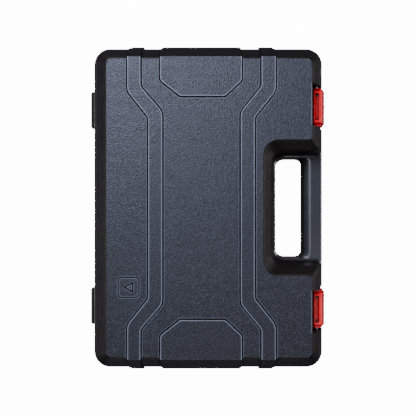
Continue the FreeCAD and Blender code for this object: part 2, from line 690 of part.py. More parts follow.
def make_ratchet(name, ratio, square, length, spot):
    """Reversible ratchet lying drive-down: body, cover, grip, drive, lever and button."""
    def s(text):
        return "(%s) * %s" % (text, ratio)

    x, y, z = spot
    at = (x, y, z)
    mid = s("head_tall / 2")
    along = ((0, 1, 0), 90)
    body = [
        solid("Cylinder", name + "_head", Radius=s("head_rad"), Height=s("head_tall")),
        solid("Cone", name + "_neck", (s("head_rad * 0.6"), "0", mid), along,
              Radius1=s("head_tall * 0.5"), Radius2=s("rod_rad"), Height=s("38")),
        solid("Cylinder", name + "_rod", (s("head_rad"), "0", mid), along,
              Radius=s("rod_rad"), Height=length + " - " + s("head_rad") + " - 3"),
    ]
    holes = [
        solid("Cylinder", name + "_bore", ("0", "0", "-1"), Radius=s("gear_rad") + " + run_fit",
              Height=s("gear_tall") + " + 1.6"),
        solid("Cylinder", name + "_plate_seat", ("0", "0", s("head_tall - 2")),
              Radius=s("cover_rad") + " + press_gap", Height=s("6")),
        solid("Cylinder", name + "_stem_hole", Radius=s("3") + " + run_fit",
              Height=s("head_tall + 4")),
        solid("Cylinder", name + "_lever_hole", (s("lever_off"), "0", s("gear_tall")),
              Radius=s("2") + " + run_fit", Height=s("8")),
    ]
    node(less(name + "_b", joined(name + "_bb", body), holes), name + "_body", at)
    seat = s("head_tall - 2") + " + press_gap"
    cover = less(name + "_c", joined(name + "_cb", [
        solid("Cylinder", name + "_disc", ("0", "0", seat), Radius=s("cover_rad"),
              Height=s("cover_thick")),
        solid("Cylinder", name + "_screw_a", ("0", s("12"), seat), Radius=s("1.9"),
              Height=s("cover_thick + 0.7")),
        solid("Cylinder", name + "_screw_b", ("0", "-" + s("12"), seat), Radius=s("1.9"),
              Height=s("cover_thick + 0.7")),
        solid("Cylinder", name + "_screw_c", ("-" + s("12"), "0", seat), Radius=s("1.9"),
              Height=s("cover_thick + 0.7")),
    ]), [
        solid("Cylinder", name + "_cover_stem", ("0", "0", "0"), Radius=s("3") + " + run_fit",
              Height=s("head_tall + 9")),
        solid("Cylinder", name + "_cover_lever", (s("lever_off"), "0", "0"),
              Radius=s("2") + " + run_fit", Height=s("head_tall + 9")),
        solid("Box", name + "_slot_a", ("-" + s("0.3"), s("9"), s("head_tall + 0.8")),
              Length=s("0.6"), Width=s("6"), Height=s("2")),
        solid("Box", name + "_slot_b", ("-" + s("0.3"), "-" + s("15"), s("head_tall + 0.8")),
              Length=s("0.6"), Width=s("6"), Height=s("2")),
    ])
    node(cover, name + "_cover", at)
    grip_start = "%s * (1 - grip_share)" % length
    grip_long = "%s * grip_share" % length
    rings = [
        solid("Cylinder", name + "_sleeve", (grip_start, "0", mid), along,
              Radius=s("grip_rad - 1.2"), Height=grip_long),
        solid("Cone", name + "_flare", (grip_start + " + 4", "0", mid), along,
              Radius1=s("grip_rad - 1.2"), Radius2=s("grip_rad"), Height="14"),
        solid("Cylinder", name + "_palm", (grip_start + " + 18", "0", mid), along,
              Radius=s("grip_rad"), Height=grip_long + " - 26"),
        solid("Cone", name + "_heel", ("%s - 8" % length, "0", mid), along,
              Radius1=s("grip_rad"), Radius2=s("grip_rad - 1.6"), Height="8"),
    ]
    grip_cut = [solid("Cylinder", name + "_grip_bore", (grip_start + " - 1", "0", mid), along,
                      Radius=s("rod_rad") + " + press_gap", Height=grip_long + " - 1.9")]
    for i in range(5):
        grip_cut.append(less(name + "_ring%d" % i,
                             solid("Cylinder", name + "_ringo%d" % i,
                                   (grip_start + " + %d" % (24 + 5 * i), "0", mid), along,
                                   Radius=s("grip_rad + 2"), Height="1.6"),
                             [solid("Cylinder", name + "_ringi%d" % i,
                                    (grip_start + " + %d" % (23 + 5 * i), "0", mid), along,
                                    Radius=s("grip_rad - 0.9"), Height="4")]))
    node(less(name + "_g", joined(name + "_gb", rings), grip_cut), name + "_grip", at)
    drive = less(name + "_d", joined(name + "_db", [
        solid("Cylinder", name + "_gear", ("0", "0", "0.3"), Radius=s("gear_rad"),
              Height=s("gear_tall")),
        solid("Box", name + "_stub", ("-%s / 2" % square, "-%s / 2" % square,
                                      "-" + s("drive_fall")),
              Length=square, Width=square, Height=s("drive_fall") + " + 1"),
        solid("Sphere", name + "_ball", ("%s / 2 - 0.9" % square, "0", "-" + s("drive_fall - 6")),
              Radius=square + " * 0.16"),
    ]), [solid("Cylinder", name + "_drive_hole", ("0", "0", "-" + s("12.5")),
               Radius=s("3") + " + run_fit", Height=s("head_tall + 20"))])
    node(drive, name + "_drive", at)
    node(joined(name + "_p", [
        solid("Cylinder", name + "_cap", ("0", "0", s("23.6")), Radius=s("5"), Height=s("2.2")),
        solid("Cone", name + "_capedge", ("0", "0", s("25.8")), Radius1=s("5"),
              Radius2=s("4.2"), Height=s("0.8")),
        solid("Cylinder", name + "_stem", ("0", "0", "-" + s("8")), Radius=s("3"),
              Height=s("32.6")),
    ]), name + "_button", at)
    node(joined(name + "_l", [
        solid("Cylinder", name + "_boss", ("0", "0", s("21.4")), Radius=s("4.2"),
              Height=s("2.6")),
        solid("Cylinder", name + "_post", ("0", "0", s("16.4")), Radius=s("2"),
              Height=s("6")),
        solid("Box", name + "_arm", ("0", "-" + s("2.6"), s("21.6")),
              Length=s("lever_reach"), Width=s("5.2"), Height=s("2")),
        solid("Cylinder", name + "_thumb", (s("lever_reach"), "0", s("21.6")),
              Radius=s("3.4"), Height=s("3.2")),
    ]), name + "_lever", ("%s + %s" % (x, s("lever_off")), y, z))
    middle = dim(z) + dim(mid)
    here_x = dim(x)
    here_y = dim(y)
    scale = dim(ratio)
    pockets.append(("stand", here_x, 0, here_y, dim(s("head_rad")) + 0.8, dim(z) - 0.4))
    pockets.append(("stand", here_x, 0, here_y, dim(square) * 0.72 + 2.2,
                    dim(z) - dim(s("drive_fall")) - 0.8))
    pockets.append(("lie", here_x, here_x + dim("%s * (1 - grip_share)" % length), here_y,
                    10.6 * scale, middle))
    pockets.append(("lie", here_x + dim("%s * (1 - grip_share)" % length) - 1.5,
                    here_x + dim(length) + 1.2, here_y, dim(s("grip_rad")) + 0.7, middle))


def make_tube(name, length, spot):
    """1/2 inch extension bar: female end, slim stem, male square."""
    along = ((0, 1, 0), 90)
    half = "big_square / 2"
    bar = less(name, joined(name + "_b", [
        solid("Cylinder", name + "_cup", turn=along, Radius="tube_rad", Height="32"),
        solid("Cone", name + "_taper", ("32", "0", "0"), along, Radius1="tube_rad",
              Radius2="stem_rad", Height="6"),
        solid("Cylinder", name + "_stem", ("32", "0", "0"), along, Radius="stem_rad",
              Height=length + " - 62"),
        solid("Cylinder", name + "_collar", (length + " - 34", "0", "0"), along,
              Radius="tube_rad - 1.2", Height="18"),
        solid("Box", name + "_male", (length + " - 18", "-" + half, "-" + half),
              Length="18", Width="big_square", Height="big_square"),
        solid("Sphere", name + "_ball", (length + " - 8", "0", half + " - 1.2"),
              Radius="2.4"),
    ]), [solid("Box", name + "_female", ("-1", "-" + half + " - 0.05", "-" + half + " - 0.05"),
               Length="18", Width="big_square + 0.1", Height="big_square + 0.1")])
    node(bar, name, spot)
    start, y, z = (dim(text) for text in spot)
    end = start + dim(length)
    pockets.append(("lie", start - 0.6, start + 39, y, dim("tube_rad") + 0.6, z))
    pockets.append(("lie", start + 30, end - 30, y, dim("stem_rad") + 1.2, z))
    pockets.append(("lie", end - 36, end + 0.8, y, dim("tube_rad") + 0.2, z))


def make_plug_socket(size, y):
    """Long spark-plug socket lying down, with its rubber grip insert."""
    flats = "plug_flats_%d" % size
    width = "plug_width_%d" % size
    base = "plug_%d" % size
    along = ((0, 1, 0), 90)
    half = "big_square / 2 + 0.05"
    wide = "%s / 2" % width
    body = less(base, joined(base + "_b", [
        solid("Cone", base + "_foot", turn=along, Radius1=wide + " - 0.6", Radius2=wide,
              Height="0.6"),
        solid("Cylinder", base + "_tube", ("0.6", "0", "0"), along, Radius=wide,
              Height="plug_len - 1.2"),
        solid("Cone", base + "_end", ("plug_len - 0.6", "0", "0"), along, Radius1=wide,
              Radius2=wide + " - 0.6", Height="0.6"),
    ]), [
        solid("Box", base + "_square", ("-1", "-(%s)" % half, "-(%s)" % half), Length="19",
              Width="big_square + 0.1", Height="big_square + 0.1"),
        solid("Cylinder", base + "_bore", ("10", "0", "0"), along, Radius=flats + " * 0.45",
              Height="plug_len"),
        solid("Prism", base + "_hex", ("plug_len - 20", "0", "0"), along, Polygon="6",
              Circumradius="(%s + nut_gap) / sqrt(3)" % flats, Height="21"),
    ])
    spot = ("plug_x", y, "plug_z")
    node(body, "spark_plug_socket_%d" % size, spot)
    insert = less(base + "_r", solid("Cylinder", base + "_ring", ("24", "0", "0"), along,
                                     Radius=flats + " * 0.45 - press_gap", Height="16"),
                  [solid("Cylinder", base + "_ring_bore", ("23", "0", "0"), along,
                         Radius=flats + " * 0.30", Height="20")])
    node(insert, "plug_insert_%d" % size, spot)
    pockets.append(("lie", dim("plug_x") - 0.8, dim("plug_x + plug_len") + 0.8, dim(y),
                    dim(width) / 2 + 0.6, dim("plug_z")))


def make_spinner():
    """Driver handle with a 1/4 inch square at its tip."""
    along = ((0, 1, 0), 90)
    spot = ("spin_x", "spin_y", "spin_z")
    half = "small_square / 2"
    grip = [
        solid("Cone", "spin_butt", turn=along, Radius1="spin_grip - 3", Radius2="spin_grip",
              Height="6"),
        solid("Cylinder", "spin_main", ("6", "0", "0"), along, Radius="spin_grip",
              Height="spin_long - 34"),
        solid("Cone", "spin_waist", ("spin_long - 28", "0", "0"), along, Radius1="spin_grip",
              Radius2="spin_grip - 4.5", Height="16"),
        solid("Cylinder", "spin_collar", ("spin_long - 12", "0", "0"), along,
              Radius="spin_grip - 4.5", Height="12"),
    ]
    flutes = []
    for i in range(8):
        angle = math.radians(45 * i)
        flutes.append(solid("Cylinder", "spin_flute%d" % i,
                            ("9", "(spin_grip + 1.6) * %.4f" % math.cos(angle),
                             "(spin_grip + 1.6) * %.4f" % math.sin(angle)), along,
                            Radius="3", Height="spin_long - 40"))
    bore = solid("Cylinder", "spin_bore", ("30", "0", "0"), along,
                 Radius="spin_shaft + press_gap", Height="spin_long")
    node(less("spinner_g", joined("spinner_gb", grip), flutes + [bore]), "spinner_grip", spot)
    node(joined("spinner_s", [
        solid("Cylinder", "spin_rod", ("30.1", "0", "0"), along, Radius="spin_shaft",
              Height="spin_long - 30.1 + spin_reach - 9"),
        solid("Box", "spin_tip", ("spin_long + spin_reach - 10", "-" + half, "-" + half),
              Length="10", Width="small_square", Height="small_square"),
    ]), "spinner_shaft", spot)
    start = dim("spin_x")
    pockets.append(("lie", start - 0.8, start + dim("spin_long") + 1, dim("spin_y"),
                    dim("spin_grip") + 0.6, dim("spin_z")))
    pockets.append(("lie", start + dim("spin_long") - 1,
                    start + dim("spin_long + spin_reach") + 1, dim("spin_y"),
                    dim("spin_shaft") + 1.4, dim("spin_z")))


def make_bits(side, label):
    """Rail of ten hexagon-shank driver bits standing tip up."""
    base = "rail_" + label
    middle = "rail_x * %d" % side
    spots = []
    for i in range(10):
        spots.append("bit_pitch * %.1f" % (i - 4.5))
    block_body = solid("Box", base + "_block", ("-rail_len / 2", "-rail_wide / 2", "0"),
                       Length="rail_len", Width="rail_wide", Height="rail_tall")
    holes = []
    bits = []
    for i, spot in enumerate(spots):
        holes.append(solid("Prism", base + "_hole%d" % i, (spot, "0", "3"), Polygon="6",
                           Circumradius="bit_flat / sqrt(3) + press_gap * 2",
                           Height="rail_tall"))
        bits.append(solid("Prism", base + "_shank%d" % i, (spot, "0", "3.05"), Polygon="6",
                          Circumradius="bit_flat / sqrt(3)", Height="bit_long - 8"))
        bits.append(solid("Cone", base + "_neck%d" % i, (spot, "0", "bit_long - 4.95"),
                          Radius1="bit_flat / 2", Radius2="bit_flat * %.2f" % (0.2 + 0.018 * i),
                          Height="2"))
        bits.append(solid("Cylinder", base + "_tip%d" % i, (spot, "0", "bit_long - 2.95"),
                          Radius="bit_flat * %.2f" % (0.2 + 0.018 * i), Height="5.5"))
    spot = (middle, "rail_y", "rail_low")
    node(less(base, block_body, holes), "bit_rail_" + label, spot)
    node(joined("bits_" + label + "_b", bits), "bits_" + label, spot)
    centre = dim(middle)
    reach = dim("rail_len") / 2 + 0.7
    pockets.append(("slot", centre - reach, centre + reach, dim("rail_y"),
                    dim("rail_wide") / 2 + 0.7, dim("rail_low") - 0.3))


def make_adaptor():
    """1/2 inch to hexagon bit adaptor."""
    made = less("adaptor", joined("adaptor_b", [
        solid("Cylinder", "adaptor_low", Radius="adapt_rad", Height="adapt_tall * 0.55"),
        solid("Cone", "adaptor_mid", ("0", "0", "adapt_tall * 0.55"), Radius1="adapt_rad",
              Radius2="adapt_rad - 3", Height="3"),
        solid("Cylinder", "adaptor_high", ("0", "0", "adapt_tall * 0.55 + 3"),
              Radius="adapt_rad - 3", Height="adapt_tall * 0.45 - 3"),
    ]), [
        solid("Box", "adaptor_square", ("-big_square / 2", "-big_square / 2", "-1"),
              Length="big_square", Width="big_square", Height="15"),
        hexagon("adaptor_hex", "bit_flat + 0.3", "adapt_tall", ("0", "0", "adapt_tall - 12")),
    ])
    node(made, "bit_adaptor", ("adapt_x", "adapt_y", "small_top - adapt_tall"))
    pockets.append(("stand", dim("adapt_x"), 0, dim("adapt_y"), dim("adapt_rad") + 0.6,
                    dim("small_top - adapt_tall") - 0.3))


make_ratchet("ratchet_half", "big_ratio", "big_square", "big_length",
             ("big_x", "ratchet_y", "ratchet_z"))
make_ratchet("ratchet_quarter", "little_ratio", "small_square", "little_length",
             ("little_x", "little_y", "little_z"))
for family, sizes, row, _ in ROWS:
    for size in sizes:
        if family == "half":
            make_socket(family, size, "big_square", row, "big_top")
        else:
            make_socket(family, size, "small_square", row, "small_top")
make_tube("extension_long", "long_tube", ("long_x", "tube_y", "tube_z"))
make_tube("extension_short", "short_tube", ("short_x", "short_y", "tube_z"))
make_plug_socket(21, "ratchet_y")
make_plug_socket(16, "tube_y")
make_spinner()
make_bits(-1, "left")
make_bits(1, "right")
make_adaptor()

middle_height = "case_height / 2"
base_shape = make_half(False).mirror(V(0, 0, 0), V(0, 0, 1))
own_shape("case_base", base_shape, ("0", "0", middle_height))
own_shape("case_lid", make_half(True), ("0", "0", middle_height))
for side, label in ((-1, "left"), (1, "right")):
    own_shape("latch_" + label, latch_shape(), ("latch_x * %d" % side, "0", middle_height))

pivot_reach = "recess_width / 2 + 3.8"
latch_pins = []
hinge_pins = []
for side, label in ((-1, "left"), (1, "right")):
    latch_pins.append(solid("Cylinder", "latch_pin_" + label,
                            ("latch_x * %d - (%s)" % (side, pivot_reach), "-pivot_y",
                             "case_height / 2 + pivot_rise"), ((0, 1, 0), 90),
                            Radius="pivot_rad", Height="2 * (%s)" % pivot_reach))
    hinge_pins.append(solid("Cylinder", "hinge_pin_" + label,
                            ("hinge_x * %d - hinge_length / 2" % side, "hinge_y",
                             middle_height), ((0, 1, 0), 90),
                            Radius="pivot_rad", Height="hinge_length"))
for label, pins in (("latch_pins", latch_pins), ("hinge_pins", hinge_pins)):
    group = doc.addObject("Part::Compound", label)
    group.Links = pins
    node(group, label)

# ---------------------------------------------------------------- recompute, check, export
doc.recompute()
faults = []
for made in doc.Objects:
    if "Invalid" in made.State or "Error" in made.State:
        faults.append("%s %s" % (made.Name, made.State))
for made in nodes:
    if made.Shape.isNull() or not made.Shape.isValid():
        faults.append("%s shape" % made.Label)
if faults:
    raise RuntimeError("; ".join(faults))
os.makedirs("parts", exist_ok=True)
for made in nodes:
    made.Shape.exportStep("parts/%s.step" % made.Label)
    box = made.Shape.BoundBox
    print("%-24s solids %d faces %d vol %.0f  x %.1f %.1f  y %.1f %.1f  z %.1f %.1f" % (
        made.Label, len(made.Shape.Solids), len(made.Shape.Faces), made.Shape.Volume,
        box.XMin, box.XMax, box.YMin, box.YMax, box.ZMin, box.ZMax))
print("nodes", len(nodes))
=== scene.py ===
import bpy
import json
import math
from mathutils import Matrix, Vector

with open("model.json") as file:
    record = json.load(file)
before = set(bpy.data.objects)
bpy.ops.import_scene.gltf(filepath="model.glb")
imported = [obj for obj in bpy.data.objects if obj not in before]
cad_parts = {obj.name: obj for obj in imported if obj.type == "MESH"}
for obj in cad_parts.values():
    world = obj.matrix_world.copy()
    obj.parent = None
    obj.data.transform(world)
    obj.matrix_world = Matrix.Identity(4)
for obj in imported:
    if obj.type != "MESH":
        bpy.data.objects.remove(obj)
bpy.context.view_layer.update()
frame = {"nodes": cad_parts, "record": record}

nodes = frame["nodes"]
slot_of = {}
for part in frame["record"]["subparts"]:
    slot_of[part["node"]] = part["material_slot"]


# ---------------------------------------------------------------- small shader helpers
def place(tree, kind, x, y, **values):
    """Add a shader node and set plain values on it."""
    made = tree.nodes.new(kind)
    made.location = (x, y)
    for name, value in values.items():
        if hasattr(made, name):
            setattr(made, name, value)
        else:
            made.inputs[name.replace("_", " ")].default_value = value
    return made


def wire(tree, source, target):
    """Join an output to an input."""
    tree.links.new(source, target)


def group(name, inputs, outputs):
    """Empty node group with named sockets."""
    made = bpy.data.node_groups.new(name, "ShaderNodeTree")
    for label, kind, value in inputs:
        socket = made.interface.new_socket(label, in_out="INPUT", socket_type=kind)
        if value is not None:
            socket.default_value = value
    for label, kind in outputs:
        made.interface.new_socket(label, in_out="OUTPUT", socket_type=kind)
    start = made.nodes.new("NodeGroupInput")
    start.location = (-1200, 0)
    end = made.nodes.new("NodeGroupOutput")
    end.location = (800, 0)
    return made, start, end


def maths(tree, operation, a, b, x, y, c=None):
    """Math node from numbers or sockets."""
    made = tree.nodes.new("ShaderNodeMath")
    made.operation = operation
    made.location = (x, y)
    for spot, value in enumerate((a, b, c)):
        if value is None:
            continue
        if isinstance(value, (int, float)):
            made.inputs[spot].default_value = value
        else:
            tree.links.new(value, made.inputs[spot])
    return made.outputs[0]


def ramp(tree, source, low, high, x, y):
    """0 at low and 1 at high, with an eased change between them."""
    made = tree.nodes.new("ShaderNodeMapRange")
    made.location = (x, y)
    made.interpolation_type = "SMOOTHSTEP"
    tree.links.new(source, made.inputs["Value"])
    made.inputs["From Min"].default_value = low
    made.inputs["From Max"].default_value = high
    return made.outputs["Result"]


def mix_colour(tree, share, a, b, x, y):
    """Colour a where share is 0, and colour b where it is 1."""
    made = tree.nodes.new("ShaderNodeMix")
    made.data_type = "RGBA"
    made.location = (x, y)
    for spot, value in ((0, share), (6, a), (7, b)):
        if isinstance(value, (int, float, tuple)):
            made.inputs[spot].default_value = value
        else:
            tree.links.new(value, made.inputs[spot])
    return made.outputs[2]


def mix_value(tree, share, a, b, x, y):
    """Number a where share is 0, and number b where it is 1."""
    made = tree.nodes.new("ShaderNodeMix")
    made.data_type = "FLOAT"
    made.location = (x, y)
    for spot, value in ((0, share), (2, a), (3, b)):
        if isinstance(value, (int, float)):
            made.inputs[spot].default_value = value
        else:
            tree.links.new(value, made.inputs[spot])
    return made.outputs[0]


# ---------------------------------------------------------------- shared effects
PEBBLE_HEIGHT = 0.0006


def make_grain():
    """Moulded pebble grain: rounded bumps of uneven size over a slow ripple."""
    tree, start, end = group("pebble_grain", [
        ("Position", "NodeSocketVector", None), ("Size", "NodeSocketFloat", 900.0),
        ("Depth", "NodeSocketFloat", 0.5), ("Amount", "NodeSocketFloat", 1.0),
        ("Base Normal", "NodeSocketVector", None)],
        [("Normal", "NodeSocketVector")])
    cells = place(tree, "ShaderNodeTexVoronoi", -800, 200, feature="SMOOTH_F1")
    cells.inputs["Smoothness"].default_value = 0.25
    fine = place(tree, "ShaderNodeTexNoise", -800, -100)
    fine.inputs["Detail"].default_value = 3.0
    for target in (cells, fine):
        wire(tree, start.outputs["Position"], target.inputs["Vector"])
    wire(tree, start.outputs["Size"], cells.inputs["Scale"])
    wire(tree, maths(tree, "MULTIPLY", start.outputs["Size"], 0.8, -1000, -200),
         fine.inputs["Scale"])
    pebble = maths(tree, "MULTIPLY", cells.outputs["Distance"], -0.8, -500, 200)
    height = maths(tree, "ADD", pebble, fine.outputs["Fac"], -300, 100)
    scaled = maths(tree, "MULTIPLY", height, start.outputs["Amount"], -100, 100)
    bump = place(tree, "ShaderNodeBump", 200, 0)
    bump.inputs["Distance"].default_value = PEBBLE_HEIGHT
    wire(tree, start.outputs["Depth"], bump.inputs["Strength"])
    wire(tree, scaled, bump.inputs["Height"])
    wire(tree, start.outputs["Base Normal"], bump.inputs["Normal"])
    wire(tree, bump.outputs["Normal"], end.inputs["Normal"])
    return tree


def make_dust():
    """Faint uneven dulling: handling marks and settled dust as a mask."""
    tree, start, end = group("handling_marks", [
        ("Position", "NodeSocketVector", None), ("Size", "NodeSocketFloat", 18.0)],
        [("Mask", "NodeSocketFloat")])
    cloud = place(tree, "ShaderNodeTexNoise", -700, 100)
    cloud.inputs["Detail"].default_value = 6.0
    cloud.inputs["Roughness"].default_value = 0.6
    wire(tree, start.outputs["Position"], cloud.inputs["Vector"])
    wire(tree, start.outputs["Size"], cloud.inputs["Scale"])
    wire(tree, ramp(tree, cloud.outputs["Fac"], 0.35, 0.75, -400, 100), end.inputs["Mask"])
    return tree


grain = make_grain()
dust = make_dust()


def use(tree, shared, x, y, **values):
    """Place a shared effect with this material's own values."""
    made = tree.nodes.new("ShaderNodeGroup")
    made.node_tree = shared
    made.location = (x, y)
    for name, value in values.items():
        made.inputs[name].default_value = value
    return made


def material(name):
    """New material with its shader and the position on the piece."""
    made = bpy.data.materials.new(name)
    made.use_nodes = True
    tree = made.node_tree
    shader = tree.nodes["Principled BSDF"]
    where = tree.nodes.new("ShaderNodeTexCoord")
    where.location = (-1600, 0)
    return made, tree, shader, where.outputs["Object"]


def round_edges(tree, skin, radius):
    """Soften hard edges in the light under a grain node."""
    soft = place(tree, "ShaderNodeBevel", skin.location[0] - 300, skin.location[1], samples=4)
    soft.inputs["Radius"].default_value = radius
    wire(tree, soft.outputs["Normal"], skin.inputs["Base Normal"])


# ---------------------------------------------------------------- materials
# heights in metres, those of the bands and pads measured up and down from the parting plane
PARTING = 0.0455
BELT = 0.0150            # half height of the smooth belt round the middle
BELT_FADE = 0.0012
FACE = (0.0425, 0.0430)  # the lid and base faces start here
LINE_TOP = (0.0438, 0.0440)
PAD = (0.0447, 0.0449)   # the bands and pads that stand above the faces
BAR_EDGE = (-0.100, -0.104)
BAR_ENDS = (0.070, 0.058)
HINGE_EDGE = (0.1277, 0.1283)


def make_zones():
    """Where on a case half a point lies, from its height off the parting plane: grained walls and
    faces, sunk pattern lines, raised pads, level faces, the carrying bar, walls and hinge barrels."""
    tree, start, end = group("case_zones", [
        ("Position", "NodeSocketVector", None), ("Facing", "NodeSocketVector", None)],
        [("Grained", "NodeSocketFloat"), ("Sunk", "NodeSocketFloat"),
         ("Raised", "NodeSocketFloat"), ("Flat", "NodeSocketFloat"),
         ("Bar", "NodeSocketFloat"), ("Wall", "NodeSocketFloat"),
         ("Hinge", "NodeSocketFloat")])
    split = place(tree, "ShaderNodeSeparateXYZ", -900, 200)
    wire(tree, start.outputs["Position"], split.inputs[0])
    turned = place(tree, "ShaderNodeSeparateXYZ", -900, -200)
    wire(tree, start.outputs["Facing"], turned.inputs[0])
    off = maths(tree, "ABSOLUTE", maths(tree, "SUBTRACT", split.outputs["Z"], PARTING, -700, 200),
                None, -500, 200)
    level = ramp(tree, maths(tree, "ABSOLUTE", turned.outputs["Z"], None, -700, -200),
                 0.93, 0.99, -500, -200)
    high = ramp(tree, off, *FACE, -300, -300)
    rough_share = ramp(tree, off, BELT, BELT + BELT_FADE, -300, 400)
    wire(tree, rough_share, end.inputs["Grained"])
    facing_up = ramp(tree, maths(tree, "ABSOLUTE", turned.outputs["Z"], None, -700, -400),
                     0.45, 0.98, -500, -400)
    near_bar = ramp(tree, split.outputs["Y"], *BAR_EDGE, -500, 700)
    along_bar = ramp(tree, maths(tree, "ABSOLUTE", split.outputs["X"], None, -700, 900),
                     *BAR_ENDS, -500, 900)
    bar_here = maths(tree, "MULTIPLY", near_bar, along_bar, -300, 700)
    bar_up = maths(tree, "MULTIPLY", bar_here, facing_up, -100, 600)
    wire(tree, maths(tree, "MULTIPLY", maths(tree, "SUBTRACT", 1.0, rough_share, -100, 400),
                     bar_up, 300, 400), end.inputs["Bar"])
    hinge = ramp(tree, split.outputs["Y"], *HINGE_EDGE, -300, -700)
    wire(tree, hinge, end.inputs["Hinge"])
    wall = maths(tree, "SUBTRACT", rough_share,
                 maths(tree, "MULTIPLY", level, high, 100, -500), 300, -500)
    wire(tree, maths(tree, "MAXIMUM", wall, hinge, 500, -500), end.inputs["Wall"])
    above = ramp(tree, off, *LINE_TOP, -300, 100)
    top = ramp(tree, off, *PAD, -300, -100)
    below = maths(tree, "SUBTRACT", 1.0, above, -100, 100)
    floor_share = maths(tree, "MULTIPLY", below, level, 100, 100)
    wire(tree, maths(tree, "MULTIPLY", floor_share, high, 300, 100), end.inputs["Sunk"])
    wire(tree, maths(tree, "MULTIPLY", top, level, 300, -100), end.inputs["Raised"])
    wire(tree, maths(tree, "MULTIPLY", level, high, 300, -300), end.inputs["Flat"])
    return tree


def make_streaks():
    """Faint drawn bands across the case left by moulding."""
    tree, start, end = group("moulding_streaks", [("Position", "NodeSocketVector", None)],
                             [("Mask", "NodeSocketFloat")])
    stretch = place(tree, "ShaderNodeVectorMath", -800, 0, operation="MULTIPLY")
    stretch.inputs[1].default_value = (160.0, 9.0, 9.0)
    wire(tree, start.outputs["Position"], stretch.inputs[0])
    lines = place(tree, "ShaderNodeTexNoise", -500, 0)
    lines.inputs["Scale"].default_value = 1.0
    lines.inputs["Detail"].default_value = 4.0
    wire(tree, stretch.outputs["Vector"], lines.inputs["Vector"])
    wire(tree, ramp(tree, lines.outputs["Fac"], 0.38, 0.66, -200, 0), end.inputs["Mask"])
    return tree


def make_painted_glints():
    """Tiny painted glints scattered over the grain, as a mask."""
    tree, start, end = group("painted_grain_glints", [
        ("Position", "NodeSocketVector", None), ("Size", "NodeSocketFloat", 800.0)],
        [("Mask", "NodeSocketFloat")])
    fine = place(tree, "ShaderNodeTexNoise", -700, 0)
    fine.inputs["Detail"].default_value = 1.0
    wire(tree, start.outputs["Position"], fine.inputs["Vector"])
    wire(tree, start.outputs["Size"], fine.inputs["Scale"])
    wire(tree, ramp(tree, fine.outputs["Fac"], 0.46, 0.66, -400, 0), end.inputs["Mask"])
    return tree


zones = make_zones()
streaks = make_streaks()
painted_glints = make_painted_glints()


def edge_share(tree, reach, low, high, x, y):
    """1 along outer edges, 0 on open faces, from how thin the body is just under the skin."""
    thin = place(tree, "ShaderNodeAmbientOcclusion", x, y, samples=12, inside=True,
                 only_local=True)
    thin.inputs["Distance"].default_value = reach
    return ramp(tree, thin.outputs["AO"], high, low, x + 300, y)


WALL_BLACK, WALL_BROWN = (0.0110, 0.0080, 0.0062, 1), (0.0140, 0.0105, 0.0085, 1)
# the lighter face colour here is a painted glint; the next three are a painted sheen, a painted
# highlight and painted shade
GRAIN_LOW, FACE_PAINTED_GLINT = (0.0040, 0.0042, 0.0060, 1), (0.0320, 0.0340, 0.0460, 1)
BAR_TOP_PAINTED_SHEEN = (0.020, 0.021, 0.027, 1)
RIM_PAINTED_HIGHLIGHT = (0.15, 0.165, 0.21, 1)
GROOVE_PAINTED_SHADE = (0.0008, 0.0008, 0.0010, 1)
CASE_ROUND = 0.0008
RIM_REACH = 0.0022


